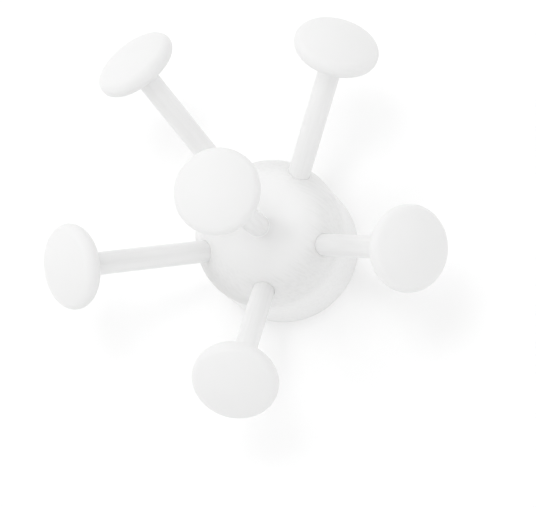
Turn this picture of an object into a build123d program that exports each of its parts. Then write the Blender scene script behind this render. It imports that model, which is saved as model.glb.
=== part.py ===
"""Wall coat rack: a turned hub with six sockets, and six knobbed pegs that screw into them."""

# Millimetres. The wall is the plane y = 0, the rack stands out from it along -Y, +Z is up and
# +X is to the right for someone facing the wall. The origin is the centre of the hub's flat back.

import os
from math import asin, atan2, cos, degrees, radians, sin, sqrt, tan

from build123d import *

os.makedirs("parts", exist_ok=True)

# Sizes of the hub: a straight side, a short bevel that leans in from it at a soft crease, a wide
# rounded shoulder that carries the bevel on, and a slightly domed front.
hub_diameter = 122.5
hub_side = 66.0
hub_crease_radius = 5.0
hub_bevel_angle = 18.0
hub_bevel_length = 8.0
hub_shoulder_radius = 37.0
hub_front_rise = 1.0
hub_back_edge_radius = 0.5

# Where the pegs stand: all six axes meet at one point inside the hub, this far from the wall.
# One peg stands almost straight out, and five lean out round it in a nearly even ring. Each socket
# of the ring is drilled a little off its even place, by this much in azimuth and in tilt.
axes_meet_at = 29.5
centre_azimuth = 258.0
centre_tilt = 1.25
ring_first_azimuth = 54.0
ring_tilt = 43.5
drilled_off = {
    "upper_right": (2.0, 1.0),
    "upper_left": (-1.0, 0.0),
    "left": (1.5, -1.5),
    "bottom": (0.5, -0.5),
    "right": (0.0, 0.5),
}

# Sizes of a peg: an 18 mm dowel with a turned tenon for its knob.
peg_diameter = 18.0
peg_exposed_length = 116.0
peg_end_chamfer = 0.8
tenon_diameter = 12.0
tenon_length = 13.0

# Sockets in the hub.
socket_depth = 22.0
socket_clearance = 0.15
socket_mouth_radius = 0.25

# Sizes of a knob: a thick disc with a rolled rim, a domed face and a slightly flatter back.
knob_diameter = 67.0
knob_rim_radius = 7.5
knob_face_rise = 5.5
knob_back_rise = 4.5
knob_seat_margin = 0.4

# Hidden fixings of a peg: a double-ended stud and the threaded sleeve that it screws into.
stud_diameter = 8.0
stud_depth_in_peg = 23.0
stud_depth_in_insert = 16.0
stud_chamfer = 0.7
insert_diameter = 12.0
insert_length = 18.0
fixed_clearance = 0.1

# Keyhole plate let into the back, flush with it, and the pocket behind it for the wall screws' heads.
plate_length = 84.0
plate_height = 34.0
plate_thickness = 2.0
plate_corner_radius = 4.0
plate_clearance = 0.2
keyhole_spacing = 40.0
keyhole_entry_diameter = 9.0
keyhole_slot_width = 4.5
keyhole_travel = 9.0
head_pocket_depth = 10.0
head_pocket_margin = 4.0

# Countersunk screws of the plate, one near each corner.
screw_diameter = 3.0
screw_head_diameter = 6.2
screw_head_angle = 90.0
screw_length = 18.0
screw_point_length = 3.0
screw_inset = 5.5

# Sizes that follow from the ones above.
hub_radius = hub_diameter / 2
peg_radius = peg_diameter / 2
socket_radius = peg_radius + socket_clearance
tenon_hole_radius = tenon_diameter / 2 + fixed_clearance
stud_hole_radius = stud_diameter / 2 + fixed_clearance
insert_hole_radius = insert_diameter / 2 + fixed_clearance
peg_shank_length = socket_depth + peg_exposed_length


def crown_radius(edge_centre, edge_radius, rise):
    """Radius of a dome on the axis that runs into a rounded edge without a crease.

    The edge is an arc of edge_radius, centred edge_centre from the axis, and the dome's top
    stands the rise above the top of that arc.
    """
    height = edge_radius + rise
    return (edge_centre**2 + height**2 - edge_radius**2) / (2 * rise)


def crown_half_angle(edge_centre, edge_radius, rise):
    """Angle in degrees from the axis to where such a dome meets its rounded edge."""
    height = edge_radius + rise
    return degrees(atan2(edge_centre, crown_radius(edge_centre, edge_radius, rise) - height))


# The hub's outline. The bevel ends where the shoulder's arc takes over without a crease.
bevel_lean = radians(hub_bevel_angle)
bevel_end_radius = hub_radius - hub_bevel_length * sin(bevel_lean)
bevel_end_depth = hub_side + hub_bevel_length * cos(bevel_lean)
hub_shoulder_centre = bevel_end_radius - hub_shoulder_radius * cos(bevel_lean)
hub_shoulder_depth = bevel_end_depth - hub_shoulder_radius * sin(bevel_lean)
hub_front_radius = crown_radius(hub_shoulder_centre, hub_shoulder_radius, hub_front_rise)
hub_front_angle = crown_half_angle(hub_shoulder_centre, hub_shoulder_radius, hub_front_rise)
hub_depth = hub_shoulder_depth + hub_shoulder_radius + hub_front_rise
hub_front_centre = hub_depth - hub_front_radius

# The knob's outline, measured along the peg from the middle of the rim.
knob_rim_centre = knob_diameter / 2 - knob_rim_radius
knob_face_radius = crown_radius(knob_rim_centre, knob_rim_radius, knob_face_rise)
knob_face_angle = crown_half_angle(knob_rim_centre, knob_rim_radius, knob_face_rise)
knob_back_radius = crown_radius(knob_rim_centre, knob_rim_radius, knob_back_rise)
knob_back_angle = crown_half_angle(knob_rim_centre, knob_rim_radius, knob_back_rise)
knob_face_centre = knob_rim_radius + knob_face_rise - knob_face_radius
knob_back_centre = knob_back_radius - knob_rim_radius - knob_back_rise
knob_seat_radius = peg_radius + knob_seat_margin
knob_seat_angle = degrees(asin(knob_seat_radius / knob_back_radius))
knob_seat_to_rim = sqrt(knob_back_radius**2 - knob_seat_radius**2) - knob_back_centre


def ray_to_arc(tilt, centre_radius, centre_depth, radius):
    """Distance along a tilted peg axis, from where the axes meet, to an arc of the hub's outline."""
    t = radians(tilt)
    across = centre_radius * sin(t) + (centre_depth - axes_meet_at) * cos(t)
    rest = centre_radius**2 + (centre_depth - axes_meet_at) ** 2 - radius**2
    return across + sqrt(across**2 - rest)


def hub_skin(tilt):
    """Distance along a peg's axis from where the axes meet to the hub's skin."""
    t = radians(tilt)
    to_front = ray_to_arc(tilt, 0, hub_front_centre, hub_front_radius)
    if to_front * sin(t) <= hub_front_radius * sin(radians(hub_front_angle)):
        return to_front
    to_shoulder = ray_to_arc(tilt, hub_shoulder_centre, hub_shoulder_depth, hub_shoulder_radius)
    if axes_meet_at + to_shoulder * cos(t) >= bevel_end_depth:
        return to_shoulder
    bevel_distance = hub_radius * cos(bevel_lean) + (hub_side - axes_meet_at) * sin(bevel_lean)
    to_bevel = bevel_distance / sin(t + bevel_lean)
    if axes_meet_at + to_bevel * cos(t) >= hub_side:
        return to_bevel
    return hub_radius / sin(t)


def across_peg(azimuth, tilt, distance):
    """Plane square to a peg's axis, this far out from where the axes meet."""
    a = radians(azimuth)
    t = radians(tilt)
    outward = Vector(sin(t) * cos(a), -cos(t), sin(t) * sin(a))
    centre = Vector(0, -axes_meet_at, 0) + outward * distance
    return Plane(origin=centre, x_dir=(-sin(a), 0, cos(a)), z_dir=outward)


def along_peg(azimuth, tilt, distance):
    """Plane through a peg's axis, its own y running outward, with its origin this far out."""
    square = across_peg(azimuth, tilt, distance)
    return Plane(origin=square.origin, x_dir=square.x_dir, z_dir=-square.y_dir)


# Each peg's place: its name, its azimuth round the hub and its tilt from the hub's axis.
pegs = [("centre", centre_azimuth, centre_tilt)]
for number, (place, (azimuth_off, tilt_off)) in enumerate(drilled_off.items()):
    even_azimuth = ring_first_azimuth + number * 360 / len(drilled_off)
    pegs.append((place, even_azimuth + azimuth_off, ring_tilt + tilt_off))

# The back of the hub: x to the right, y up, z into the hub.
back = Plane(origin=(0, 0, 0), x_dir=(1, 0, 0), z_dir=(0, -1, 0))

# The plate's screws stand the same distance in from its ends and its long edges.
screw_spacing_x = plate_length - 2 * screw_inset
screw_spacing_z = plate_height - 2 * screw_inset
screw_head_height = (screw_head_diameter - screw_diameter) / 2 / tan(radians(screw_head_angle / 2))

# The pocket behind the plate takes in both keyholes with room round the screw heads.
pocket_length = keyhole_spacing + keyhole_entry_diameter + 2 * head_pocket_margin
pocket_height = keyhole_travel + keyhole_entry_diameter + head_pocket_margin

# Hub
with BuildPart() as hub:
    with BuildSketch(Plane(origin=(0, 0, 0), x_dir=(1, 0, 0), z_dir=(0, 0, -1))) as hub_outline:
        with BuildLine():
            shoulder = CenterArc(
                (hub_shoulder_centre, hub_shoulder_depth),
                hub_shoulder_radius,
                hub_bevel_angle,
                90 - hub_front_angle - hub_bevel_angle,
            )
            front = CenterArc(
                (0, hub_front_centre), hub_front_radius, 90 - hub_front_angle, hub_front_angle
            )
            Polyline(front @ 1, (0, 0), (hub_radius, 0), (hub_radius, hub_side), shoulder @ 0)
        make_face()
        crease = hub_outline.vertices().group_by(Axis.X)[-1].sort_by(Axis.Y)[-1]
        fillet(crease, radius=hub_crease_radius)
    revolve(axis=Axis.Y)
    fillet(hub.edges().group_by(Axis.Y)[-1], radius=hub_back_edge_radius)

    # One socket for each peg, with an eased mouth, and below its floor the hole for the insert.
    for place, azimuth, tilt in pegs:
        socket_floor = across_peg(azimuth, tilt, hub_skin(tilt) - socket_depth)
        with BuildSketch(socket_floor):
            Circle(socket_radius)
        extrude(amount=hub_depth, mode=Mode.SUBTRACT)
        rings = hub.edges(Select.LAST).filter_by(GeomType.LINE, reverse=True)
        above_floor = rings.group_by(Axis(socket_floor.origin, socket_floor.z_dir))[1:]
        mouth = [edge for group in above_floor for edge in group]
        fillet(mouth, radius=socket_mouth_radius)
        with BuildSketch(socket_floor):
            Circle(insert_hole_radius)
        extrude(amount=-insert_length, mode=Mode.SUBTRACT)

    # The shallow recess for the keyhole plate and the deeper pocket behind it.
    with BuildSketch(back):
        RectangleRounded(
            plate_length + 2 * plate_clearance,
            plate_height + 2 * plate_clearance,
            plate_corner_radius + plate_clearance,
        )
    extrude(amount=plate_thickness, mode=Mode.SUBTRACT)
    with BuildSketch(back.offset(plate_thickness)):
        RectangleRounded(pocket_length, pocket_height, plate_corner_radius)
    extrude(amount=head_pocket_depth, mode=Mode.SUBTRACT)
    with BuildSketch(back.offset(plate_thickness)):
        with GridLocations(screw_spacing_x, screw_spacing_z, 2, 2):
            Circle(screw_diameter / 2 + fixed_clearance)
    extrude(amount=screw_length - plate_thickness, mode=Mode.SUBTRACT)
hub.part.label = "hub"
export_step(hub.part, "parts/hub.step")

for place, azimuth, tilt in pegs:
    floor_at = hub_skin(tilt) - socket_depth
    knob_seat_at = floor_at + peg_shank_length
    rim_at = knob_seat_at + knob_seat_to_rim
    axis_out = Axis(across_peg(azimuth, tilt, 0).origin, across_peg(azimuth, tilt, 0).z_dir)

    # Peg: a plain dowel that stands on the socket's floor, drilled for its stud, with a tenon for its knob.
    with BuildPart() as peg:
        with BuildSketch(across_peg(azimuth, tilt, floor_at)):
            Circle(peg_radius)
        extrude(amount=peg_shank_length)
        chamfer(peg.edges().group_by(axis_out)[0], length=peg_end_chamfer)
        with BuildSketch(across_peg(azimuth, tilt, knob_seat_at)):
            Circle(tenon_diameter / 2)
        extrude(amount=tenon_length)
        chamfer(peg.edges().group_by(axis_out)[-1], length=peg_end_chamfer)
        with BuildSketch(across_peg(azimuth, tilt, floor_at)):
            Circle(stud_hole_radius)
        extrude(amount=stud_depth_in_peg, mode=Mode.SUBTRACT)
    peg.part.label = f"peg_{place}"
    export_step(peg.part, f"parts/peg_{place}.step")

    # Knob: a turned disc, flat only where the peg's shoulder seats, with a blind hole for the tenon.
    with BuildPart() as knob:
        with BuildSketch(along_peg(azimuth, tilt, rim_at)):
            with BuildLine():
                face = CenterArc((0, knob_face_centre), knob_face_radius, 90, -knob_face_angle)
                rim = CenterArc(
                    (knob_rim_centre, 0),
                    knob_rim_radius,
                    90 - knob_face_angle,
                    knob_face_angle + knob_back_angle - 180,
                )
                rear = CenterArc(
                    (0, knob_back_centre),
                    knob_back_radius,
                    knob_back_angle - 90,
                    knob_seat_angle - knob_back_angle,
                )
                Polyline(rear @ 1, (0, -knob_seat_to_rim), face @ 0)
            make_face()
        revolve(axis=axis_out)
        with BuildSketch(across_peg(azimuth, tilt, knob_seat_at)):
            Circle(tenon_hole_radius)
        extrude(amount=tenon_length, mode=Mode.SUBTRACT)
    knob.part.label = f"knob_{place}"
    export_step(knob.part, f"parts/knob_{place}.step")

    # Stud: a steel rod, threaded at both ends, that reaches from the peg into the insert.
    with BuildPart() as stud:
        with BuildSketch(across_peg(azimuth, tilt, floor_at - stud_depth_in_insert)):
            Circle(stud_diameter / 2)
        extrude(amount=stud_depth_in_insert + stud_depth_in_peg)
        chamfer(stud.edges().filter_by(GeomType.CIRCLE), length=stud_chamfer)
    stud.part.label = f"stud_{place}"
    export_step(stud.part, f"parts/stud_{place}.step")

    # Insert: a brass sleeve flush with the socket's floor.
    with BuildPart() as insert:
        with BuildSketch(across_peg(azimuth, tilt, floor_at)):
            Circle(insert_diameter / 2)
            Circle(stud_hole_radius, mode=Mode.SUBTRACT)
        extrude(amount=-insert_length)
    insert.part.label = f"insert_{place}"
    export_step(insert.part, f"parts/insert_{place}.step")

# Keyhole plate: two round entries, each with a slot above it that the wall screw's shank slides up.
with BuildPart() as hanger_plate:
    with BuildSketch(back):
        RectangleRounded(plate_length, plate_height, plate_corner_radius)
        with GridLocations(keyhole_spacing, 0, 2, 1):
            with Locations((0, -keyhole_travel / 2)):
                Circle(keyhole_entry_diameter / 2, mode=Mode.SUBTRACT)
            SlotCenterToCenter(keyhole_travel, keyhole_slot_width, rotation=90, mode=Mode.SUBTRACT)
    extrude(amount=plate_thickness)
    with Locations(Plane(origin=(0, 0, 0), x_dir=(1, 0, 0), z_dir=(0, 1, 0))):
        with GridLocations(screw_spacing_x, screw_spacing_z, 2, 2):
            CounterSinkHole(
                screw_diameter / 2 + fixed_clearance,
                screw_head_diameter / 2 + fixed_clearance,
                depth=plate_thickness,
                counter_sink_angle=screw_head_angle,
            )
hanger_plate.part.label = "hanger_plate"
export_step(hanger_plate.part, "parts/hanger_plate.step")

# Screws of the plate: a countersunk head flush with the plate, a plain shank and a point.
with BuildPart() as plate_screws:
    with Locations(back):
        with GridLocations(screw_spacing_x, screw_spacing_z, 2, 2):
            Cone(
                screw_head_diameter / 2,
                screw_diameter / 2,
                screw_head_height,
                align=(Align.CENTER, Align.CENTER, Align.MIN),
            )
            with Locations((0, 0, screw_head_height)):
                Cylinder(
                    screw_diameter / 2,
                    screw_length - screw_head_height - screw_point_length,
                    align=(Align.CENTER, Align.CENTER, Align.MIN),
                )
            with Locations((0, 0, screw_length - screw_point_length)):
                Cone(
                    screw_diameter / 2,
                    0,
                    screw_point_length,
                    align=(Align.CENTER, Align.CENTER, Align.MIN),
                )
plate_screws.part.label = "plate_screws"
export_step(plate_screws.part, "parts/plate_screws.step")
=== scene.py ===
# %% [markdown]
# A white wall coat rack, dressed in Blender.
# The solid model of the rack is loaded first and stays where it is: a turned hub on the wall, six
# dowel pegs in drilled sockets and a thick round knob on each peg. This lesson adds what solids lack,
# which is the paint with the grain under it, the threads and screw heads, the light and the camera.

# %% Load the rack
from math import asin, cos, pi, radians, sin, sqrt

import bpy
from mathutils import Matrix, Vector


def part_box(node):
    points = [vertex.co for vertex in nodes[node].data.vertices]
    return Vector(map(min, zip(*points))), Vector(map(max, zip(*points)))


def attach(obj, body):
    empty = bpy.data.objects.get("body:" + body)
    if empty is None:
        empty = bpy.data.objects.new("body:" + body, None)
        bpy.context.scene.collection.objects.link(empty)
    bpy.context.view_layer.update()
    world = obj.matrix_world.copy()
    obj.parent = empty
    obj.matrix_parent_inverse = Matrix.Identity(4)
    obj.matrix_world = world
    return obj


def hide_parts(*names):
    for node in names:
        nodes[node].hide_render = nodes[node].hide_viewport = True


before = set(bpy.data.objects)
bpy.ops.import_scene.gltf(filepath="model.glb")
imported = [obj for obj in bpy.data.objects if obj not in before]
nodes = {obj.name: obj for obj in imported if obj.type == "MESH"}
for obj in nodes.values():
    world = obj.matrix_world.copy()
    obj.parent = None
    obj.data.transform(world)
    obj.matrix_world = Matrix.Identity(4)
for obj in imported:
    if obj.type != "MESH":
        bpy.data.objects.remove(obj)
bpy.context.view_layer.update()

# %% [markdown]
# Every size below is in metres and repeats the real size of the piece it names. All six peg axes
# meet at one point inside the hub. One peg stands almost straight out of the wall, and five lean out
# round it. Only the angles are written here: how far out each peg starts and ends is measured on
# the loaded solids, along the peg's own axis, so that whatever is added later sits where it should.

# %% Where the pegs stand
axes_meet = Vector((0.0, -0.0295, 0.0))
tenon_length = 0.013

# Each peg's azimuth round the hub, from +X upwards, and its tilt away from the hub's axis, in degrees.
peg_angles = {
    "centre": (258.0, 1.25),
    "upper_right": (56.0, 44.5),
    "upper_left": (125.0, 43.5),
    "left": (199.5, 42.0),
    "bottom": (270.5, 43.0),
    "right": (342.0, 44.0),
}


def outward(azimuth, tilt):
    """Direction of a peg from the point where the axes meet."""
    return Vector((sin(tilt) * cos(azimuth), -cos(tilt), sin(tilt) * sin(azimuth)))


def reach(node, direction):
    """Nearest and farthest point of a node along a direction, from where the axes meet."""
    along = [(corner.co - axes_meet).dot(direction) for corner in nodes[node].data.vertices]
    return min(along), max(along)


# For each peg: its direction, the floor of its socket and the shoulder that its knob sits on.
pegs = {}
for place, (azimuth, tilt) in peg_angles.items():
    direction = outward(radians(azimuth), radians(tilt))
    floor_at, tip_at = reach("peg_" + place, direction)
    pegs[place] = (direction, floor_at, tip_at - tenon_length)
    print("peg", place, "from", round(floor_at * 1000, 2), "to", round(pegs[place][2] * 1000, 2), "mm")


def turned_to(direction):
    """Rotation that stands a piece made along +Z on a peg's axis."""
    return direction.to_track_quat("Z", "Y").to_euler()


# %% [markdown]
# Node trees are long to write by hand. One small class wraps a socket, so that sums on sockets add
# Math nodes and read like ordinary arithmetic. Vectors have a method of their own, and one more makes
# any other node. The same class serves the paint, which is made of shader nodes, and the threads,
# which are made of geometry nodes.


# %% A wire: one socket of a node tree
class Wire:
    """One socket of a node tree. Sums on wires add Math nodes; make() adds any other node."""

    def __init__(self, tree, socket=None):
        self.tree = tree
        self.socket = socket

    def make(self, kind, settings=None, inputs=None, out=0):
        """Add a node: its settings first, then the values or the wires of its sockets."""
        node = self.tree.nodes.new(kind)
        for name, value in (settings or {}).items():
            setattr(node, name, value)
        for key, value in (inputs or {}).items():
            if isinstance(value, Wire):
                self.tree.links.new(value.socket, node.inputs[key])
            else:
                node.inputs[key].default_value = value
        return Wire(self.tree, node.outputs[out])

    def math(self, operation, *values):
        """A sum on numbers."""
        return self.make("ShaderNodeMath", {"operation": operation}, dict(enumerate(values)))

    def vector(self, operation, *values):
        """A sum on vectors. A length or a dot product gives a number, any other gives a vector."""
        out = "Value" if operation in ("LENGTH", "DOT_PRODUCT") else "Vector"
        return self.make("ShaderNodeVectorMath", {"operation": operation}, dict(enumerate(values)), out)

    def __add__(self, other):
        return self.math("ADD", self, other)

    def __radd__(self, other):
        return self.math("ADD", other, self)

    def __sub__(self, other):
        return self.math("SUBTRACT", self, other)

    def __rsub__(self, other):
        return self.math("SUBTRACT", other, self)

    def __mul__(self, other):
        return self.math("MULTIPLY", self, other)

    def __rmul__(self, other):
        return self.math("MULTIPLY", other, self)

    def __truediv__(self, other):
        return self.math("DIVIDE", self, other)

    def __rtruediv__(self, other):
        return self.math("DIVIDE", other, self)

    def __gt__(self, other):
        return self.math("GREATER_THAN", self, other)

    def __lt__(self, other):
        return self.math("LESS_THAN", self, other)

    def into(self, node, key):
        """Lead this wire into a socket of a node that is already there."""
        self.tree.links.new(self.socket, node.inputs[key])


# %% Shader nodes that every finish uses
def noise(bench, where, lumps, layers, strength):
    """Soft noise from 0 to 1: lumps to a metre, layers of finer lumps and the strength of those."""
    values = {"Vector": where, "Scale": lumps, "Detail": layers, "Roughness": strength}
    return bench.make("ShaderNodeTexNoise", None, values, out="Fac")


def spread(value, low, high):
    """Stretch a value smoothly so that low becomes 0 and high becomes 1."""
    return value.make("ShaderNodeMapRange", {"interpolation_type": "SMOOTHSTEP"}, {0: value, 1: low, 2: high})


def marks(bench, where, lumps, layers, strength, none, full):
    """Noise made into marks: there is none of them at the first level and all at the second."""
    return spread(noise(bench, where, lumps, layers, strength), none, full)


def blend(bench, share, first, second):
    """Mix two colours, with this share of the second."""
    settings = {"data_type": "RGBA", "clamp_factor": True}
    return bench.make("ShaderNodeMix", settings, {0: share, 6: first, 7: second}, out=2)


# %% [markdown]
# The rack is wood under white satin paint, and the grain shows through it as fine grey streaks along the
# fibres. In the pegs and knobs the fibres run along the piece's own axis. The hub was turned from a
# block whose fibres run aslant, to the right, down and back. A picture of grain would be drawn out over
# the domes, so the streaks are noise, stretched along the fibres and read at each point's own place
# in the wood. They fade where a face is square to the turning axis, because such faces were sanded
# smooth. On the hub's shoulder the lathe cut the fibres at a slant and tore them a little, so the paint
# there has short dark flecks. The shoulder is also darker as its face turns sideways, as far as a
# little past the crease: partly the torn grain and partly painted shade. Its lower left is darker
# still, a painted shade beyond what the light makes there. The hub's flat back was given one coat
# only, so the grain shows there most. The walls and mouths of the sockets round each peg are painted
# lighter, a painted light that takes away the shade the narrow gap holds.

# %% Shades of the paint and its marks
# The hub, the pegs and the knobs have one paint. Their three whites differ only to bring each kind to its
# brightness, so the differences are painted light and painted shade.
hub_white = 0.863
peg_white = 0.85
knob_white = 0.818
blue_share = 0.998
grain_and_painted_shade_grey = (0.7, 0.7, 0.695, 1.0)
gap_painted_light_white = (0.97, 0.97, 0.968, 1.0)

# The numbers of each mark, in the order in which noise() and marks() take them.
broad_streaks = (210.0, 3.0, 0.55, 0.4, 0.7)
thin_streaks = (760.0, 2.0, 0.5, 0.5, 0.74)
torn_flecks = (560.0, 3.0, 0.6, 0.4, 0.7)
paint_clouds = (30.0, 3.0, 0.5)
paint_texture = (2600.0, 2.0, 0.6)
broad_share = 0.6

# Lengths along the fibres are cut to these shares before the noise is read, which draws the marks out.
streak_stretch = (1.0, 1.0, 0.03)
fleck_stretch = (1.0, 1.0, 0.09)

# Each piece reads the noise at a place of its own, this step times its number away.
piece_step = (0.37, 0.53, 0.71)

# How far each mark takes the colour towards the grey of the grain and of the painted shade.
streaks_darken = 0.3
flecks_darken = 0.2
clouds_darken = 0.05
# The shoulder's share is partly torn grain and partly painted shade; the side's share is painted shade.
shoulder_darkens = 0.3
painted_shade_side_darkens = 0.55

# How rough the satin is, and what the marks add to that.
satin_roughness = 0.42
streaks_roughen = 0.14
flecks_roughen = 0.1
texture_roughens = 0.06

# How deep the marks are in the paint, as shares of the bump's depth in metres.
streaks_sink = 0.6
flecks_sink = 0.5
texture_rises = 0.1
paint_bump_depth = 0.0001
paint_bump_strength = 0.3
paint_shine = 0.25

# How much of the grain shows: on a sanded face, and on each kind of piece.
sanded_grain_shows = 0.06
hub_grain_shows = 0.3
peg_grain_shows = 0.9
knob_grain_shows = 0.3
back_grain_shows = 0.9

# %% Where the hub's own marks, its painted shade and its painted light lie
hub_axis = Vector((0.0, -1.0, 0.0))
hub_fibres = Vector((0.76, 0.45, -0.47)).normalized()
# How far round each peg's axis the painted light in the gap reaches, and where the thin back coat begins.
gap_reach = 0.0096
back_reach = -0.0003

# The shoulder's flecks and its darkening (partly torn grain, partly painted shade) come in as its
# face turns sideways, and the darkening dies away between two places along Y.
flecks_begin = (0.03, 0.4)
shoulder_begins = (0.0, 0.65)
shoulder_ends = (-0.072, -0.05)
shoulder_loss = 0.95

# Painted shade, darkest on faces that turn this way, and only where the face still looks a little to the
# front.
painted_shade_side = Vector((-0.75, 0.0, -0.66))
painted_shade_side_begins = (0.62, 0.92)
painted_shade_front_begins = (0.03, 0.2)


def painted_light_in_gaps(bench, here):
    """Painted light: 1 on the walls and mouths of the hub's sockets, which lie close round the pegs' axes."""
    from_meet = bench.vector("SUBTRACT", here, axes_meet)
    in_any = 0.0
    for direction, floor_at, seat_at in pegs.values():
        off_axis = bench.vector("LENGTH", bench.vector("CROSS_PRODUCT", from_meet, direction))
        along = bench.vector("DOT_PRODUCT", from_meet, direction)
        in_any = in_any + (off_axis < gap_reach) * (along > floor_at)
    return in_any


# %% Paint over turned wood
def painted_wood(name, centre, axis, fibres, number, white, grain_shows, hub_marks_and_shade=False):
    """White satin paint over wood that was turned on this axis and whose fibres run this way.

    With the hub's marks and shade it has flecks, a thin coat behind, a shoulder darkened partly by
    torn grain and partly by painted shade, more painted shade at the lower left and painted light in its
    sockets.
    """
    finish = bpy.data.materials.new(name)
    finish.use_nodes = True
    shader = finish.node_tree.nodes["Principled BSDF"]
    bench = Wire(finish.node_tree)
    here = bench.make("ShaderNodeTexCoord", out="Object")
    facing = bench.make("ShaderNodeTexCoord", out="Normal")
    square_on = bench.vector("DOT_PRODUCT", facing, axis)
    sideways = 1.0 - square_on * square_on
    in_wood = bench.make(
        "ShaderNodeMapping",
        {"vector_type": "TEXTURE"},
        {"Vector": here, "Location": centre, "Rotation": turned_to(fibres)},
    )
    own = bench.vector("ADD", in_wood, tuple(step * number for step in piece_step))
    drawn_out = bench.vector("MULTIPLY", own, streak_stretch)
    broad = marks(bench, drawn_out, *broad_streaks)
    thin = marks(bench, drawn_out, *thin_streaks)
    shows = (sanded_grain_shows + sideways * (1.0 - sanded_grain_shows)) * grain_shows
    if hub_marks_and_shade:
        depth_here = bench.make("ShaderNodeSeparateXYZ", None, {0: here}, out="Y")
        shows = shows + (depth_here > back_reach) * back_grain_shows
    streaks = (broad * broad_share + thin * (1.0 - broad_share)) * shows
    cloud = noise(bench, own, *paint_clouds)
    texture = noise(bench, own, *paint_texture)
    darker = streaks * streaks_darken + cloud * clouds_darken
    rougher = satin_roughness + streaks * streaks_roughen + texture * texture_roughens
    height = 1.0 - streaks * streaks_sink + texture * texture_rises
    if hub_marks_and_shade:
        specks = marks(bench, bench.vector("MULTIPLY", own, fleck_stretch), *torn_flecks)
        flecks = specks * spread(sideways, *flecks_begin)
        # The shoulder darkens partly from torn grain and partly as painted shade, and loses it towards the
        # wall.
        kept = 1.0 - spread(depth_here, *shoulder_ends) * shoulder_loss
        shoulder = spread(sideways, *shoulder_begins) * kept
        # Painted shade on the lower left of the shoulder, where the face still looks a little to the front.
        to_painted_shade_side = bench.vector("DOT_PRODUCT", facing, painted_shade_side)
        painted_shade_lower_left = spread(to_painted_shade_side, *painted_shade_side_begins) * spread(square_on, *painted_shade_front_begins)
        darker = darker + flecks * flecks_darken + shoulder * shoulder_darkens + painted_shade_lower_left * painted_shade_side_darkens
        rougher = rougher + flecks * flecks_roughen
        height = height - flecks * flecks_sink
    colour = blend(bench, darker, (white, white, white * blue_share, 1.0), grain_and_painted_shade_grey)
    # Painted light in the gaps round the pegs, lightening the shade they hold.
    if hub_marks_and_shade:
        colour = blend(bench, painted_light_in_gaps(bench, here), colour, gap_painted_light_white)
    colour.into(shader, "Base Color")
    rougher.into(shader, "Roughness")
    bump_values = {"Strength": paint_bump_strength, "Distance": paint_bump_depth, "Height": height}
    bench.make("ShaderNodeBump", None, bump_values).into(shader, "Normal")
    shader.inputs["Specular IOR Level"].default_value = paint_shine
    return finish


# The hub is piece 1, the pegs are pieces 2 to 7 and the knobs follow them.
hub_paint = painted_wood(
    "paint_on_hub", Vector(), hub_axis, hub_fibres, 1, hub_white, hub_grain_shows, hub_marks_and_shade=True
)
nodes["hub"].data.materials[0] = hub_paint
knob_paint = {}
for peg_number, (place, (direction, floor_at, seat_at)) in enumerate(pegs.items(), start=2):
    knob_number = peg_number + len(pegs)
    seat = axes_meet + direction * seat_at
    nodes["peg_" + place].data.materials[0] = painted_wood(
        "paint_on_peg_" + place, seat, direction, direction, peg_number, peg_white, peg_grain_shows
    )
    knob_paint[place] = painted_wood(
        "paint_on_knob_" + place, seat, direction, direction, knob_number, knob_white, knob_grain_shows
    )
print("painted the hub,", len(pegs), "pegs and", len(knob_paint), "knobs")

# %% [markdown]
# The fixings are metal. The hanging plate and the studs are zinc plated steel: a cool grey with a faint
# patchwork of crystals and fine brushed lines. The plate's wood screws are plated too, but darker and
# almost without the patchwork, because plating on so small a thread is thin. The inserts are brass,
# duller in patches where it has begun to tarnish. Each could have a recipe of its own, but they differ
# only in colour and in how far the crystals show, so one serves all three.

# %% Plated steel and brass
zinc_bright = (0.72, 0.73, 0.75, 1.0)
zinc_dull = (0.5, 0.51, 0.53, 1.0)
thin_zinc_bright = (0.5, 0.51, 0.53, 1.0)
thin_zinc_dull = (0.3, 0.31, 0.33, 1.0)
brass_bright = (0.8, 0.6, 0.27, 1.0)
brass_dull = (0.5, 0.36, 0.16, 1.0)
zinc_crystals_show = 0.3
faint_crystals_show = 0.05

# The numbers of each mark, in the order in which noise() and marks() take them, and of the crystals.
brushed_lines = (2400.0, 3.0, 0.6)
dull_patches = (70.0, 4.0, 0.6, 0.35, 0.7)
brush_stretch = (0.04, 1.0, 1.0)
crystals_to_metre = 320.0

# How far each mark takes the colour towards the dull one, and what it adds to the roughness.
patches_dull = 0.5
lines_dull = 0.3
bare_roughness = 0.26
patches_roughen = 0.16
lines_roughen = 0.1
crystals_roughen = 0.3
metal_bump_depth = 0.00004
metal_bump_strength = 0.25


def worked_metal(name, bright, dull, crystals_show):
    """Metal with brushed lines along X, dull patches and a patchwork of crystals."""
    finish = bpy.data.materials.new(name)
    finish.use_nodes = True
    shader = finish.node_tree.nodes["Principled BSDF"]
    bench = Wire(finish.node_tree)
    here = bench.make("ShaderNodeTexCoord", out="Object")
    crystal_values = {"Vector": here, "Scale": crystals_to_metre}
    cells = bench.make("ShaderNodeTexVoronoi", None, crystal_values, out="Color")
    cell_shade = bench.make("ShaderNodeSeparateColor", None, {"Color": cells}, out="Green")
    crystals = cell_shade * crystals_show
    lines = noise(bench, bench.vector("MULTIPLY", here, brush_stretch), *brushed_lines)
    patches = marks(bench, here, *dull_patches)
    worn = patches * patches_dull + lines * lines_dull + crystals
    blend(bench, worn, bright, dull).into(shader, "Base Color")
    rougher = bare_roughness + patches * patches_roughen + lines * lines_roughen
    (rougher + crystals * crystals_roughen).into(shader, "Roughness")
    bump_values = {"Strength": metal_bump_strength, "Distance": metal_bump_depth, "Height": lines}
    bench.make("ShaderNodeBump", None, bump_values).into(shader, "Normal")
    shader.inputs["Metallic"].default_value = 1.0
    return finish


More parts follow.
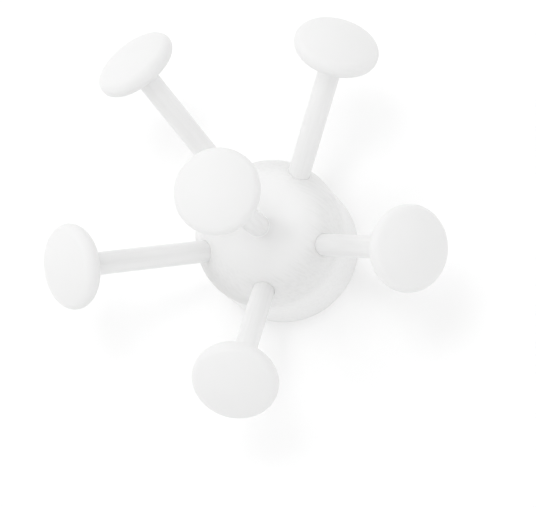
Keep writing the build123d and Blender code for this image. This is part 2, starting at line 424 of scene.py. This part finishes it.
zinc = worked_metal("zinc_plated_steel", zinc_bright, zinc_dull, zinc_crystals_show)
thin_zinc = worked_metal("thinly_plated_steel", thin_zinc_bright, thin_zinc_dull, faint_crystals_show)
brass = worked_metal("turned_brass", brass_bright, brass_dull, faint_crystals_show)
nodes["hanger_plate"].data.materials[0] = zinc
print("plated the hanging plate;", zinc.name, "has", len(zinc.node_tree.nodes), "nodes")

# %% [markdown]
# A knob's outline follows a rule: a shallow dome in front, a rolled rim and a rounder dome behind,
# each an arc that runs into the next without a crease. Such an outline can be walked by the angle
# of its surface alone. A spun profile curve would do too, but with geometry nodes the arcs stay
# named sizes, and one tree turns all six knobs, each with its blind hole for the peg's tenon.

# %% Geometry trees and the pieces that grow from them
def new_tree(name, inputs):
    """A geometry tree with named inputs, given as name to socket type, and a wire for each."""
    tree = bpy.data.node_groups.new(name, "GeometryNodeTree")
    for label, kind in inputs.items():
        tree.interface.new_socket(label, in_out="INPUT", socket_type="NodeSocket" + kind)
    tree.interface.new_socket("Geometry", in_out="OUTPUT", socket_type="NodeSocketGeometry")
    entry = tree.nodes.new("NodeGroupInput")
    return tree, {label: Wire(tree, entry.outputs[label]) for label in inputs}


def close_tree(tree, geometry, finish):
    """End a tree in realised instances with their material."""
    bench = Wire(tree)
    real = bench.make("GeometryNodeRealizeInstances", None, {0: geometry})
    dressed = bench.make("GeometryNodeSetMaterial", None, {0: real, "Material": finish})
    dressed.into(tree.nodes.new("NodeGroupOutput"), 0)


def grow(name, tree, values, crease=40.0):
    """Run a tree with these inputs and keep what it makes as a plain mesh object."""
    piece = bpy.data.objects.new(name, bpy.data.meshes.new(name))
    bpy.context.scene.collection.objects.link(piece)
    modifier = piece.modifiers.new("grow", "NODES")
    modifier.node_group = tree
    for item in tree.interface.items_tree:
        if item.in_out == "INPUT":
            modifier[item.identifier] = values[item.name]
    seen = piece.evaluated_get(bpy.context.evaluated_depsgraph_get())
    mesh = bpy.data.meshes.new_from_object(seen)
    piece.modifiers.remove(modifier)
    piece.data = mesh
    mesh.name = name
    mesh.polygons.foreach_set("use_smooth", [True] * len(mesh.polygons))
    mesh.set_sharp_from_angle(angle=radians(crease))
    return piece


def report_fit(piece, node):
    """Print how far the box of a piece is from the box of the solid that it stands for."""
    corners = [corner.co for corner in piece.data.vertices]
    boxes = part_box(node)
    sides = [(pick(corner[axis] for corner in corners), boxes[end][axis])
             for end, pick in enumerate((min, max)) for axis in range(3)]
    off = max(abs(own - solid) for own, solid in sides)
    print(piece.name, len(piece.data.polygons), "faces, off its solid's box by", round(off * 1000, 3), "mm")


# %% A sheet wrapped round an axis
seam_reach = 0.000004


def sheet_of(bench, columns, rows):
    """A flat grid as raw material: its angle round the axis, its row number and the grid itself."""
    grid = bench.make(
        "GeometryNodeMeshGrid",
        None,
        {"Size X": 1.0, "Size Y": 1.0, "Vertices X": columns + 1.0, "Vertices Y": rows},
    )
    spot = bench.make("GeometryNodeInputPosition")
    x, y = (bench.make("ShaderNodeSeparateXYZ", None, {0: spot}, out=axis) for axis in "XY")
    angle = (x + 0.5) * (2 * pi)
    row = bench.math("ROUND", (y + 0.5) * (rows - 1.0))
    return grid, angle, row


def wrapped(bench, grid, angle, radius, height, place, turn):
    """Wrap the grid round the axis at this radius and height, close its seam and set it in place.

    The sheet faces outwards where its rows climb. Where they come down, the angle is given backwards.
    """
    where = bench.make(
        "ShaderNodeCombineXYZ",
        None,
        {0: radius * bench.math("COSINE", angle), 1: radius * bench.math("SINE", angle), 2: height},
    )
    round_form = bench.make("GeometryNodeSetPosition", None, {0: grid, "Position": where})
    closed = bench.make("GeometryNodeMergeByDistance", None, {0: round_form, "Distance": seam_reach})
    return bench.make("GeometryNodeTransform", None, {0: closed, "Translation": place, "Rotation": turn})


# %% The knob's rule
knob_inputs = {
    "Radius": "Float",
    "Rim radius": "Float",
    "Face rise": "Float",
    "Back rise": "Float",
    "Seat angle": "Float",
    "Tenon radius": "Float",
    "Tenon depth": "Float",
    "Columns": "Int",
    "Rows": "Int",
    "Place": "Vector",
    "Turn": "Vector",
    "Finish": "Material",
}
knob_tree, given = new_tree("turned_knob", knob_inputs)
bench = Wire(knob_tree)
grid, angle, row = sheet_of(bench, given["Columns"], given["Rows"])
rim_out = given["Radius"] - given["Rim radius"]


def dome(rise):
    """Radius of the dome that meets the rim, the angle where they meet and the height of its top."""
    top = given["Rim radius"] + rise
    radius = (rim_out * rim_out + top * top - given["Rim radius"] * given["Rim radius"]) / (2.0 * rise)
    return radius, bench.math("ARCTAN2", rim_out, radius - top), top


face_radius, face_angle, face_top = dome(given["Face rise"])
back_radius, back_angle, back_top = dome(given["Back rise"])

# The last three rows make the tenon's hole. Half rows keep the comparisons clear of rounding.
hole_rows = 3.0
last = given["Rows"] - (1.0 + hole_rows)
lean = bench.math("MINIMUM", row / last, 1.0) * (pi - given["Seat angle"])
on_face = lean < face_angle
on_back = lean > pi - back_angle
on_rim = 1.0 - on_face - on_back
arc = on_face * face_radius + on_back * back_radius + on_rim * given["Rim radius"]
radius_here = bench.math("SINE", lean) * arc + on_rim * rim_out
height_here = (
    bench.math("COSINE", lean) * arc
    + on_face * (face_top - face_radius)
    + on_back * (back_radius - back_top)
)
in_hole = row > last + 0.5
at_floor = row > last + 1.5
at_axis = row > last + 2.5
radius_here = radius_here * (1.0 - in_hole) + given["Tenon radius"] * in_hole * (1.0 - at_axis)
height_here = height_here + given["Tenon depth"] * at_floor
close_tree(
    knob_tree,
    wrapped(bench, grid, angle * -1.0, radius_here, height_here, given["Place"], given["Turn"]),
    given["Finish"],
)
print("the knob's rule has", len(knob_tree.nodes), "nodes")

# %% Six turned knobs
knob_radius = 0.0335
knob_rim = 0.0075
knob_face_rise = 0.0055
knob_back_rise = 0.0045
knob_seat_radius = 0.0094
tenon_radius = 0.0061

# How far the rim's middle stands from the seat, by the same sum as in dome().
back_depth = knob_rim + knob_back_rise
back_dome = ((knob_radius - knob_rim) ** 2 + back_depth**2 - knob_rim**2) / (2 * knob_back_rise)
seat_to_rim = sqrt(back_dome**2 - knob_seat_radius**2) - back_dome + back_depth

knobs = {}
for place, (direction, floor_at, seat_at) in pegs.items():
    knobs[place] = grow(
        "turned_knob_" + place,
        knob_tree,
        {
            "Radius": knob_radius,
            "Rim radius": knob_rim,
            "Face rise": knob_face_rise,
            "Back rise": knob_back_rise,
            "Seat angle": asin(knob_seat_radius / back_dome),
            "Tenon radius": tenon_radius,
            "Tenon depth": tenon_length,
            "Columns": 128,
            "Rows": 150,
            "Place": axes_meet + direction * (seat_at + seat_to_rim),
            "Turn": turned_to(direction),
            "Finish": knob_paint[place],
        },
    )
    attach(knobs[place], "root")
    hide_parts("knob_" + place)
    report_fit(knobs[place], "knob_" + place)

# %% [markdown]
# A thin dark line shows round the feet of the outer pegs, where the paint did not close the gap. At the
# foot of the middle peg there is none: the paint has run together there and dried as a small hollow
# fillet. A bevel would change the hub itself, so it is one more wrapped sheet, which starts high on
# the peg, curves down to the hub's front and closes below. Its place is measured on the hub, from the
# edge of that socket's mouth.

# %% The fillet's rule
fillet_tree, given = new_tree(
    "paint_fillet",
    {
        "Inner radius": "Float",
        "Width": "Float",
        "Height": "Float",
        "Depth": "Float",
        "Columns": "Int",
        "Rows": "Int",
        "Place": "Vector",
        "Turn": "Vector",
        "Finish": "Material",
    },
)
bench = Wire(fillet_tree)
grid, angle, row = sheet_of(bench, given["Columns"], given["Rows"])

# The sheet curves down to the hub, then has one row below its skin and one back at the start.
last_curved = given["Rows"] - 3.0
below = (row > last_curved + 0.5) * (row < last_curved + 1.5)
round_hollow = (row < last_curved + 0.5) * row / last_curved * (pi / 2)
across = 1.0 - bench.math("COSINE", round_hollow)
climb = (1.0 - bench.math("SINE", round_hollow)) * (1.0 - below)
close_tree(
    fillet_tree,
    wrapped(
        bench,
        grid,
        angle * -1.0,
        given["Inner radius"] + across * given["Width"],
        climb * given["Height"] - below * given["Depth"],
        given["Place"],
        given["Turn"],
    ),
    given["Finish"],
)
print("the fillet's rule has", len(fillet_tree.nodes), "nodes")

# %% Paint at the foot of the middle peg
peg_radius = 0.009
mouth_radius = 0.0094
mouth_play = 0.00004
fillet_bite = 0.00003
fillet_width = 0.0006
fillet_height = 0.00045
fillet_depth = 0.00015

direction, floor_at, seat_at = pegs["centre"]
mouth = []
for corner in nodes["hub"].data.vertices:
    from_meet = corner.co - axes_meet
    on_edge = abs(from_meet.cross(direction).length - mouth_radius) < mouth_play
    if on_edge and from_meet.dot(direction) > floor_at:
        mouth.append(from_meet.dot(direction))
mouth_at = sum(mouth) / len(mouth)
fillet = grow(
    "paint_fillet_centre",
    fillet_tree,
    {
        "Inner radius": peg_radius - fillet_bite,
        "Width": fillet_width,
        "Height": fillet_height,
        "Depth": fillet_depth,
        "Columns": 96,
        "Rows": 10,
        "Place": axes_meet + direction * mouth_at,
        "Turn": turned_to(hub_axis),
        "Finish": hub_paint,
    },
)
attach(fillet, "root")
print(fillet.name, len(fillet.data.polygons), "faces,", round(mouth_at * 1000, 2), "mm along the peg's axis")

# %% [markdown]
# Each peg is held by a steel stud that screws into a brass insert in the socket's floor. A thread is a
# ridge that climbs one pitch in each turn, so its radius depends on the angle round the axis and the
# height alone. A Screw modifier makes a thread too, but leaves its ends and its core to be closed by
# hand. So the wrapped sheet serves again: its radius rises and falls with the height less the climb of
# the angle. The insert is a sleeve, so its sheet runs up the outside and down the bore, whose thread
# is the stud's own with a little play.

# %% The stud's rule
def ridge(bench, height, angle, pitch):
    """0 in the valley and 1 on the crest of a right-handed thread."""
    turns = height / pitch - angle / (2 * pi)
    return 1.0 - bench.math("ABSOLUTE", bench.math("FRACT", turns) * 2.0 - 1.0)


stud_tree, given = new_tree(
    "threaded_stud",
    {
        "Radius": "Float",
        "Thread depth": "Float",
        "Pitch": "Float",
        "Chamfer": "Float",
        "Length": "Float",
        "Columns": "Int",
        "Rows": "Int",
        "Place": "Vector",
        "Turn": "Vector",
        "Finish": "Material",
    },
)
bench = Wire(stud_tree)
grid, angle, row = sheet_of(bench, given["Columns"], given["Rows"])

# The first and the last row are the middles of the flat ends.
up = bench.make("ShaderNodeClamp", None, {0: (row - 1.0) / (given["Rows"] - 3.0)})
height = up * given["Length"]
to_end = bench.math("MINIMUM", height, given["Length"] - height)
threaded = given["Radius"] - (1.0 - ridge(bench, height, angle, given["Pitch"])) * given["Thread depth"]
chamfered = bench.math("MINIMUM", threaded, given["Radius"] - given["Chamfer"] + to_end)
between_caps = (row > 0.5) * (row < given["Rows"] - 1.5)
close_tree(
    stud_tree,
    wrapped(bench, grid, angle, chamfered * between_caps, height, given["Place"], given["Turn"]),
    given["Finish"],
)
print("the stud's rule has", len(stud_tree.nodes), "nodes")

# %% The insert's rule
insert_tree, given = new_tree(
    "threaded_insert",
    {
        "Radius": "Float",
        "Thread depth": "Float",
        "Pitch": "Float",
        "Bore radius": "Float",
        "Bore thread depth": "Float",
        "Bore pitch": "Float",
        "Bore start": "Float",
        "Length": "Float",
        "Columns": "Int",
        "Rows": "Int",
        "Place": "Vector",
        "Turn": "Vector",
        "Finish": "Material",
    },
)
bench = Wire(insert_tree)
grid, angle, row = sheet_of(bench, given["Columns"], given["Rows"])

# Half the rows climb the outside, half come down the bore, and one more returns to the start.
side_rows = (given["Rows"] - 1.0) / 2.0
outside = (row < side_rows - 0.5) + (row > given["Rows"] - 1.5)
way_up = bench.make("ShaderNodeClamp", None, {0: row / (side_rows - 1.0)})
way_down = bench.make("ShaderNodeClamp", None, {0: (row - side_rows) / (side_rows - 1.0)})
height = (way_up - way_down) * given["Length"]
to_end = bench.math("MINIMUM", height, given["Length"] - height)
outer_ridge = ridge(bench, height, angle, given["Pitch"])
outer = given["Radius"] - (1.0 - outer_ridge) * given["Thread depth"]
outer = bench.math("MINIMUM", outer, given["Radius"] - given["Thread depth"] + to_end)
bore_ridge = ridge(bench, height - given["Bore start"], angle, given["Bore pitch"])
bore = given["Bore radius"] - (1.0 - bore_ridge) * given["Bore thread depth"]
close_tree(
    insert_tree,
    wrapped(
        bench,
        grid,
        angle,
        outer * outside + bore * (1.0 - outside),
        height,
        given["Place"],
        given["Turn"],
    ),
    given["Finish"],
)
print("the insert's rule has", len(insert_tree.nodes), "nodes")

# %% Studs and inserts in their sockets
stud_radius = 0.004
stud_pitch = 0.00125
stud_thread_depth = 0.0007
stud_in_insert = 0.016
stud_in_peg = 0.023
insert_radius = 0.006
insert_pitch = 0.003
insert_thread_depth = 0.0009
insert_length = 0.018
thread_play = 0.0001

for place, (direction, floor_at, seat_at) in pegs.items():
    stud = grow(
        "threaded_stud_" + place,
        stud_tree,
        {
            "Radius": stud_radius,
            "Thread depth": stud_thread_depth,
            "Pitch": stud_pitch,
            "Chamfer": stud_thread_depth,
            "Length": stud_in_insert + stud_in_peg,
            "Columns": 24,
            "Rows": 195,
            "Place": axes_meet + direction * (floor_at - stud_in_insert),
            "Turn": turned_to(direction),
            "Finish": zinc,
        },
    )
    insert = grow(
        "threaded_insert_" + place,
        insert_tree,
        {
            "Radius": insert_radius,
            "Thread depth": insert_thread_depth,
            "Pitch": insert_pitch,
            "Bore radius": stud_radius + thread_play,
            "Bore thread depth": stud_thread_depth,
            "Bore pitch": stud_pitch,
            "Bore start": insert_length - stud_in_insert,
            "Length": insert_length,
            "Columns": 32,
            "Rows": 181,
            "Place": axes_meet + direction * (floor_at - insert_length),
            "Turn": turned_to(direction),
            "Finish": brass,
        },
    )
    for piece, node, slot in ((stud, "stud_", "zinc_steel"), (insert, "insert_", "brass")):
        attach(piece, "root")
        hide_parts(node + place)
        report_fit(piece, node + place)

# %% [markdown]
# Four small countersunk screws hold the hanging plate. One screw is another wrapped sheet: a flat head, a
# cone under it, a thread and a point. A cross-shaped cutter takes the driver's recess out of the head.
# The screw could be copied by hand, but a small grid has the plate's spacing for its sizes, so it is
# set on that grid's four points. Each is turned by chance, as nobody lines them up, with a fixed seed
# so that every run gives the same four.

# %% One screw
screw_tree, given = new_tree(
    "plate_screw",
    {
        "Head radius": "Float",
        "Head height": "Float",
        "Head edge": "Float",
        "Radius": "Float",
        "Thread depth": "Float",
        "Pitch": "Float",
        "Length": "Float",
        "Point length": "Float",
        "Recess size": "Vector",
        "Recess taper": "Float",
        "Spacing X": "Float",
        "Spacing Z": "Float",
        "Columns": "Int",
        "Rows": "Int",
        "Seed": "Int",
        "Finish": "Material",
    },
)
bench = Wire(screw_tree)
grid, angle, row = sheet_of(bench, given["Columns"], given["Rows"])

# Three rows make the head: its middle, its upper edge and its lower edge. The cone hangs from the last.
head_rows = 3.0
on_shank = row > head_rows - 0.5
down = bench.make("ShaderNodeClamp", None, {0: (row - head_rows) / (given["Rows"] - 1.0 - head_rows)})
depth = given["Head height"] + (given["Length"] - given["Head height"]) * down
core = given["Radius"] - given["Thread depth"]
run_in = bench.make("ShaderNodeClamp", None, {0: (depth - given["Head height"]) / given["Pitch"]})
taper = bench.make("ShaderNodeClamp", None, {0: (given["Length"] - depth) / given["Point length"]})
shank = (core + ridge(bench, depth, angle, given["Pitch"]) * given["Thread depth"] * run_in) * taper
radius_here = on_shank * shank + (1.0 - on_shank) * (row > 0.5) * given["Head radius"]
depth_here = on_shank * depth + (1.0 - on_shank) * (row > 1.5) * given["Head edge"]
at_origin = (0.0, 0.0, 0.0)
blank = wrapped(bench, grid, angle, radius_here, depth_here, at_origin, at_origin)


def recess_arm(turn):
    """One arm of the cross, narrower towards its floor."""
    block = bench.make("GeometryNodeMeshCube", None, {"Size": given["Recess size"]})
    spot = bench.make("GeometryNodeInputPosition")
    x, y, z = (bench.make("ShaderNodeSeparateXYZ", None, {0: spot}, out=axis) for axis in "XYZ")
    narrow = 1.0 - z * given["Recess taper"]
    moved = bench.make("ShaderNodeCombineXYZ", None, {0: x * narrow, 1: y * narrow, 2: z})
    arm = bench.make("GeometryNodeSetPosition", None, {0: block, "Position": moved})
    return bench.make("GeometryNodeTransform", None, {0: arm, "Rotation": (0.0, 0.0, turn)})


driven = bench.make(
    "GeometryNodeMeshBoolean",
    {"operation": "DIFFERENCE", "solver": "EXACT"},
    {"Mesh 1": blank, "Mesh 2": recess_arm(0.0)},
)
recess_arm(pi / 2).into(driven.socket.node, "Mesh 2")

# %% Four screws in the plate
corners = bench.make(
    "GeometryNodeMeshGrid",
    None,
    {"Size X": given["Spacing X"], "Size Y": given["Spacing Z"], "Vertices X": 2, "Vertices Y": 2},
)
by_chance = bench.make(
    "FunctionNodeRandomValue",
    {"data_type": "FLOAT_VECTOR"},
    {0: at_origin, 1: (0.0, 0.0, 2 * pi), "Seed": given["Seed"]},
)
four = bench.make(
    "GeometryNodeInstanceOnPoints", None, {"Points": corners, "Instance": driven, "Rotation": by_chance}
)
into_hub = bench.make("GeometryNodeTransform", None, {0: four, "Rotation": (pi / 2, 0.0, 0.0)})
close_tree(screw_tree, into_hub, given["Finish"])
print("the screws' rule has", len(screw_tree.nodes), "nodes")

screws = grow(
    "countersunk_screws",
    screw_tree,
    {
        "Head radius": 0.0031,
        "Head height": 0.0016,
        "Head edge": 0.0001,
        "Radius": 0.0015,
        "Thread depth": 0.0004,
        "Pitch": 0.0013,
        "Length": 0.018,
        "Point length": 0.003,
        "Recess size": (0.0034, 0.0008, 0.0024),
        "Recess taper": 280.0,
        "Spacing X": 0.073,
        "Spacing Z": 0.023,
        "Columns": 28,
        "Rows": 112,
        "Seed": 5,
        "Finish": thin_zinc,
    },
    crease=32.0,
)
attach(screws, "root")
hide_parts("plate_screws")
report_fit(screws, "plate_screws")

# %% [markdown]
# The rack hangs on a white wall, and the photograph shows it there with soft shadows. The wall has a
# hole behind the hub's flat back, and is clear when seen from behind, so that the back of the
# rack can be looked at too. It meets the hub just past the rounding of its back edge, where a gap would
# draw a dark line. A faint glow stands for a lamp that lights the wall alone: the photograph's wall is
# so bright that its faintest shadows are lost. A pale floor lies well below and fades away at a
# distance, so that it shows no edge. Both are stage, and not part of the rack.

# %% Wall and floor
wall_reach = 4.0
wall_at = -0.0006
wall_hole_radius = 0.057
wall_hole_steps = 48
wall_white = 0.955
wall_glow = 0.021
floor_level = -1.25
floor_reach = 6.5
floor_white = 0.85
floor_fades = (2.5, 6.0)
mottle = (3.0, 2.0, 0.5)
mottle_shade = 0.995


def one_sided(name, shade, glow=0.0, fades=None):
    """A matt surface that is clear from behind. If given, it glows and fades between two distances."""
    finish = bpy.data.materials.new(name)
    finish.use_nodes = True
    tree = finish.node_tree
    tree.nodes.remove(tree.nodes["Principled BSDF"])
    bench = Wire(tree)
    here = bench.make("ShaderNodeTexCoord", out="Object")
    light, dark = ((value, value, value, 1.0) for value in (shade, shade * mottle_shade))
    mottled = blend(bench, noise(bench, here, *mottle), light, dark)
    matt = bench.make("ShaderNodeBsdfDiffuse", None, {"Color": mottled})
    if glow:
        lit = bench.make("ShaderNodeEmission", None, {"Strength": glow})
        matt = bench.make("ShaderNodeAddShader", None, {0: matt, 1: lit})
    clear = bench.make("ShaderNodeBsdfTransparent")
    gone = bench.make("ShaderNodeNewGeometry", out="Backfacing")
    if fades:
        gone = bench.math("MAXIMUM", gone, spread(bench.vector("LENGTH", here), *fades))
    either = bench.make("ShaderNodeMixShader", None, {0: gone, 1: matt, 2: clear})
    either.into(tree.nodes["Material Output"], "Surface")
    return finish


def stage_piece(name, corners, faces, finish):
    """A mesh that belongs to the stage, and not to the rack."""
    mesh = bpy.data.meshes.new(name)
    mesh.from_pydata(corners, [], faces)
    mesh.materials.append(finish)
    piece = bpy.data.objects.new(name, mesh)
    bpy.context.scene.collection.objects.link(piece)
    return piece


def wall_ring(radius):
    """Points of a circle on the wall."""
    turns = [2 * pi * step / wall_hole_steps for step in range(wall_hole_steps)]
    return [(radius * cos(turn), wall_at, radius * sin(turn)) for turn in turns]


wall_faces = []
for step in range(wall_hole_steps):
    following = (step + 1) % wall_hole_steps
    wall_faces.append((wall_hole_steps + step, wall_hole_steps + following, following, step))
wall = stage_piece(
    "studio_wall",
    wall_ring(wall_hole_radius) + wall_ring(wall_reach),
    wall_faces,
    one_sided("wall_white", wall_white, glow=wall_glow),
)
floor = stage_piece(
    "studio_floor",
    [
        (-floor_reach, -floor_reach, floor_level),
        (floor_reach, -floor_reach, floor_level),
        (floor_reach, floor_reach, floor_level),
        (-floor_reach, floor_reach, floor_level),
    ],
    [(0, 1, 2, 3)],
    one_sided("floor_pale", floor_white, fades=floor_fades),
)
for piece in (wall, floor):
    print(piece.name, "faces", [round(v, 2) for v in piece.data.polygons[0].normal])

# %% [markdown]
# The light in the photograph is broad and soft. Most of it is a white surround, which keeps the shaded
# sides of white paint nearly white. It is brighter overhead and underfoot than level with the rack,
# as in a white room with a lit ceiling and a pale floor, and brighter on the left, since surfaces that
# face left are the lighter ones. The wall shows faint shadows that fall almost straight behind the
# knobs, so a share comes from a small panel in front. The middle peg shades the hub to its right, so
# a little comes from a panel on the left. A larger one on the right keeps that side from going dull.

# %% Light
surround_level = 0.55
surround_lift_left = 0.16
panel_distance = 3.0

# Each panel: the way to it from the rack, its width in metres and how bright it makes a white card.
panels = {
    "front_panel": ((0.06, -1.0, 0.075), 0.6, 0.088),
    "left_panel": ((-0.5, -0.82, 0.17), 1.1, 0.072),
    "right_panel": ((0.8, -0.6, 0.1), 1.4, 0.105),
}

world = bpy.data.worlds.new("white_surround")
world.use_nodes = True
bench = Wire(world.node_tree)
way = bench.make("ShaderNodeTexCoord", out="Generated")
way_x, way_z = (bench.make("ShaderNodeSeparateXYZ", None, {0: way}, out=axis) for axis in "XZ")
overhead_and_underfoot = surround_level * (1.0 + way_z * way_z)
from_left = surround_lift_left * (1.0 - way_x) * (1.0 - way_x)
background = world.node_tree.nodes["Background"]
(overhead_and_underfoot + from_left).into(background, "Strength")
background.inputs["Color"].default_value = (1.0, 1.0, 1.0, 1.0)
bpy.context.scene.world = world


def soft_panel(name, towards, size, share):
    """A square soft light aimed at the hub. A white card that faces it there would show this share.

    Light thins out with the square of the distance, and both the panel and a matt card spread
    theirs over a half sphere, which divides it by pi each time.
    """
    data = bpy.data.lights.new(name, "AREA")
    data.shape = "SQUARE"
    data.size = size
    data.energy = share * (pi * panel_distance) ** 2
    lamp = bpy.data.objects.new(name, data)
    lamp.location = axes_meet + Vector(towards).normalized() * panel_distance
    lamp.rotation_euler = (axes_meet - lamp.location).to_track_quat("-Z", "Y").to_euler()
    lamp.visible_camera = False
    bpy.context.scene.collection.objects.link(lamp)
    print(name, "gives", round(data.energy, 1), "W")


for name, (towards, size, share) in panels.items():
    soft_panel(name, towards, size, share)

# %% [markdown]
# The photograph was taken from a little to the right of the rack and below it, looking slightly up.
# The lens and the place of the camera were fitted to the six knobs and the hub's outline.

# %% Camera
camera_azimuth = radians(13.396)
camera_elevation = radians(-12.524)
camera_distance = 1.984
frame_width, frame_height = 536, 507
focal_pixels = 2402.0
meeting_point_pixel = (278.6, 242.8)
sensor_width = 36.0

camera_data = bpy.data.cameras.new("camera")
camera_data.sensor_fit = "HORIZONTAL"
camera_data.sensor_width = sensor_width
camera_data.lens = focal_pixels / frame_width * sensor_width
camera = bpy.data.objects.new("camera", camera_data)
bpy.context.scene.collection.objects.link(camera)
back_from = Vector(
    (
        sin(camera_azimuth) * cos(camera_elevation),
        -cos(camera_azimuth) * cos(camera_elevation),
        sin(camera_elevation),
    )
)
camera.rotation_euler = (-back_from).to_track_quat("-Z", "Y").to_euler()
to_right = camera.rotation_euler.to_matrix() @ Vector((1, 0, 0))
to_top = camera.rotation_euler.to_matrix() @ Vector((0, 1, 0))
metres_per_pixel = camera_distance / focal_pixels
right_of_middle = (meeting_point_pixel[0] - frame_width / 2) * metres_per_pixel
above_middle = (frame_height / 2 - meeting_point_pixel[1]) * metres_per_pixel
camera.location = axes_meet + back_from * camera_distance - to_right * right_of_middle - to_top * above_middle
bpy.context.scene.camera = camera
bpy.context.scene.view_settings.view_transform = "Standard"
print("camera at", [round(v, 3) for v in camera.location], "lens", round(camera_data.lens, 1), "mm")
